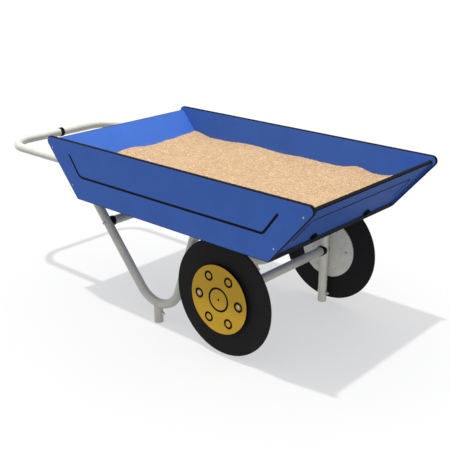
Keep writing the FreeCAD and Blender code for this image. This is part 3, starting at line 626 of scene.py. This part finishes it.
def acorn_nut(mesh, seat, outward):
    """Domed nut: a chamfered hexagon with a round cap, its back sunk into the curve of the tube."""
    rings = [(hexagon(NUT_HALF_FLATS), -NUT_SKIRT), (hexagon(NUT_HALF_FLATS), NUT_BODY - NUT_CHAMFER),
             (NUT_HALF_FLATS * 1.04, NUT_BODY), (CAP_R * 1.04, NUT_BODY + 0.0002),
             (CAP_R, NUT_BODY + 0.0006), (CAP_R, NUT_BODY + CAP_WALL)]
    for k in range(1, 12):
        lean = math.radians(8 * k)
        rings.append((CAP_R * math.cos(lean), NUT_BODY + CAP_WALL + CAP_R * math.sin(lean)))
    lathe(mesh, seat, outward, rings)


nuts = bmesh.new()
for low, high in solid_boxes("foot_nuts"):
    centre = (low + high) / 2
    reach = NUT_BODY + CAP_WALL + CAP_R
    acorn_nut(nuts, Vector((high.x - reach, centre.y, centre.z)), (1, 0, 0))
acorn_nuts = finished("acorn_nuts", nuts, materials["stainless"], 25)
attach(acorn_nuts, "root")
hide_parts("foot_nuts")


# ---- weld beads -----------------------------------------------------------------
BEND_R = 0.165            # leg bend, on the tube axis
BEND_LOW_Z = 0.109        # tube axis at the lowest point of that bend
BEAD_STEPS = 180
BEAD_SIDES = 10
FOOT_BEAD_R, POST_BEAD_R = 0.0024, 0.0026


def bead(mesh, points, radius):
    """Closed rope of weld along points, with the ripples of the puddle."""
    count = len(points)
    loops = []
    for k, point in enumerate(points):
        along = (points[(k + 1) % count] - points[k - 1]).normalized()
        aside = along.cross(Vector((0, 0, 1))).normalized()
        above = aside.cross(along)
        swell = radius * (1 + 0.16 * math.sin(k * math.pi / 2) + 0.08 * math.sin(k * 0.37))
        loop = []
        for j in range(BEAD_SIDES):
            angle = 2 * math.pi * j / BEAD_SIDES
            loop.append(mesh.verts.new(point + swell * (math.cos(angle) * aside + math.sin(angle) * above)))
        loops.append(loop)
    for k in range(count):
        low, high = loops[k], loops[(k + 1) % count]
        for j in range(BEAD_SIDES):
            after = (j + 1) % BEAD_SIDES
            mesh.faces.new((low[j], low[after], high[after], high[j]))


def seam(centre, height):
    """Points round an upright tube at centre.

    height gives a point's z from its dx and from the crossing tube's half width there.
    """
    points = []
    for k in range(BEAD_STEPS):
        angle = 2 * math.pi * k / BEAD_STEPS
        dx, dy = TUBE_R * math.cos(angle), TUBE_R * math.sin(angle)
        half_width = math.sqrt(max(0.0, TUBE_R ** 2 - dy ** 2))
        points.append(Vector((centre.x + dx, centre.y + dy, height(dx, half_width))))
    return points


def foot_bead(mesh, side):
    """Weld between a rear foot and the bend of the leg above it."""
    low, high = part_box("rear_foot_" + SIDE_NAME[side])

    def under_bend(dx, half_width):
        return BEND_LOW_Z + BEND_R - math.sqrt((BEND_R + half_width) ** 2 - dx ** 2)

    bead(mesh, seam((low + high) / 2, under_bend), FOOT_BEAD_R)


def post_bead(mesh, side):
    """Weld between a front post and the run under the tray."""
    low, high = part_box("front_post_" + SIDE_NAME[side])

    def under_run(dx, half_width):
        return high.z - half_width

    bead(mesh, seam((low + high) / 2, under_run), POST_BEAD_R)


for side in (LEFT, RIGHT):
    weld = bmesh.new()
    foot_bead(weld, side)
    post_bead(weld, side)
    welds = finished("weld_beads_" + SIDE_NAME[side], weld, materials["white_tube"], 80)
    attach(welds, "root")


# ---- stage ----------------------------------------------------------------------
FLOOR_GLOW = 0.52         # own light of the floor, which keeps its shadows pale
FLOOR_ALBEDO = 0.35
FLOOR_REACH = 300.0


def studio_white():
    n = Nodes("studio_floor")
    n.shader.inputs["Emission Color"].default_value = (1, 1, 1, 1)
    n.shader.inputs["Emission Strength"].default_value = FLOOR_GLOW
    return n.finish((FLOOR_ALBEDO, FLOOR_ALBEDO, FLOOR_ALBEDO, 1), 0.9, specular=0.0)


floor_data = bpy.data.meshes.new("studio_floor")
corners = []
for x, y in ((-1, -1), (1, -1), (1, 1), (-1, 1)):
    corners.append((x * FLOOR_REACH, y * FLOOR_REACH, 0))
floor_data.from_pydata(corners, [], [(0, 1, 2, 3)])
studio_floor = bpy.data.objects.new("studio_floor", floor_data)
studio_floor.data.materials.append(studio_white())
scene.collection.objects.link(studio_floor)

world = bpy.data.worlds.new("studio")
scene.world = world
world.use_nodes = True
SKY, GROUND_GLOW = 0.76, 0.5        # studio light from above and from below
HORIZON = 0.04                      # depth of the change from one to the other
backdrop = world.node_tree.nodes["Background"]
aim = world.node_tree.nodes.new("ShaderNodeTexCoord")
split_aim = world.node_tree.nodes.new("ShaderNodeSeparateXYZ")
glow = world.node_tree.nodes.new("ShaderNodeMapRange")
for name, number in (("From Min", -HORIZON), ("From Max", 0.0), ("To Min", GROUND_GLOW), ("To Max", SKY)):
    glow.inputs[name].default_value = number
world.node_tree.links.new(aim.outputs["Generated"], split_aim.inputs[0])
world.node_tree.links.new(split_aim.outputs["Z"], glow.inputs["Value"])
world.node_tree.links.new(glow.outputs["Result"], backdrop.inputs["Strength"])
backdrop.inputs["Color"].default_value = (1, 1, 1, 1)
studio_floor.visible_diffuse = False


def sun(name, direction, strength, spread):
    """Distant light that shines along direction; spread is its apparent size in degrees."""
    data = bpy.data.lights.new(name, "SUN")
    data.energy = strength
    data.angle = math.radians(spread)
    item = bpy.data.objects.new(name, data)
    item.rotation_euler = Vector(direction).to_track_quat("-Z", "Y").to_euler()
    scene.collection.objects.link(item)
    return item


def softbox(name, place, target, size, power):
    """Square lamp of the given width at place, turned to target."""
    data = bpy.data.lights.new(name, "AREA")
    data.energy = power
    data.size = size
    item = bpy.data.objects.new(name, data)
    item.location = place
    item.rotation_euler = (Vector(target) - Vector(place)).to_track_quat("-Z", "Y").to_euler()
    scene.collection.objects.link(item)
    return item


def light_only(lamp, item, state):
    """Restrict lamp to item (state INCLUDE) or to everything but item (state EXCLUDE)."""
    group = bpy.data.collections.new(lamp.name + "_" + state.lower())
    group.objects.link(item)
    group.collection_objects[0].light_linking.link_state = state
    lamp.light_linking.receiver_collection = group


OVERHEAD = (0.082, 0.142, -0.986)
FROM_NOSE = (-0.766, 0.0, -0.643)
key_light = sun("key_light", OVERHEAD, 5.0, 2.0)
nose_fill = sun("nose_fill", FROM_NOSE, 0.9, 30.0)
post_fill = softbox("post_fill", (AXLE.x + 0.5, -0.3, 0.35), (AXLE.x, FRAME_Y, 0.3), 0.4, 1.8)
side_fill = softbox("side_fill", (0.0, -4.0, 2.8), (-0.3, TRAY_IN, 0.85), 2.0, 40.0)
floor_light = sun("floor_light", OVERHEAD, 2.2, 2.0)
light_only(key_light, studio_floor, "EXCLUDE")
light_only(nose_fill, nodes["rear_panel"], "INCLUDE")
light_only(post_fill, nodes["front_post_left"], "INCLUDE")
light_only(side_fill, nodes["side_panel_left"], "INCLUDE")
light_only(floor_light, studio_floor, "INCLUDE")


# ---- camera ---------------------------------------------------------------------
# From ahead of the nose, on the cart's right and well above the rim.
AZIMUTH = math.radians(41.7356)
ELEVATION = math.radians(20.2787)
ROLL = math.radians(0.1191)
CAMERA_PLACE = Vector((AXLE.x + 2.35942, -3.06755, 1.98261))
LENS = 65.46

back = Vector((math.sin(AZIMUTH) * math.cos(ELEVATION), -math.cos(AZIMUTH) * math.cos(ELEVATION),
               math.sin(ELEVATION)))
right = Vector((math.cos(AZIMUTH), math.sin(AZIMUTH), 0))
up = back.cross(right)
turn = Matrix.Rotation(ROLL, 3, back)
axes = Matrix((turn @ right, turn @ up, back)).transposed()
camera_data = bpy.data.cameras.new("camera")
camera_data.lens = LENS
camera_data.sensor_width = 36.0
camera = bpy.data.objects.new("camera", camera_data)
camera.matrix_world = Matrix.Translation(CAMERA_PLACE) @ axes.to_4x4()
scene.collection.objects.link(camera)
scene.camera = camera
scene.view_settings.view_transform = "Standard"
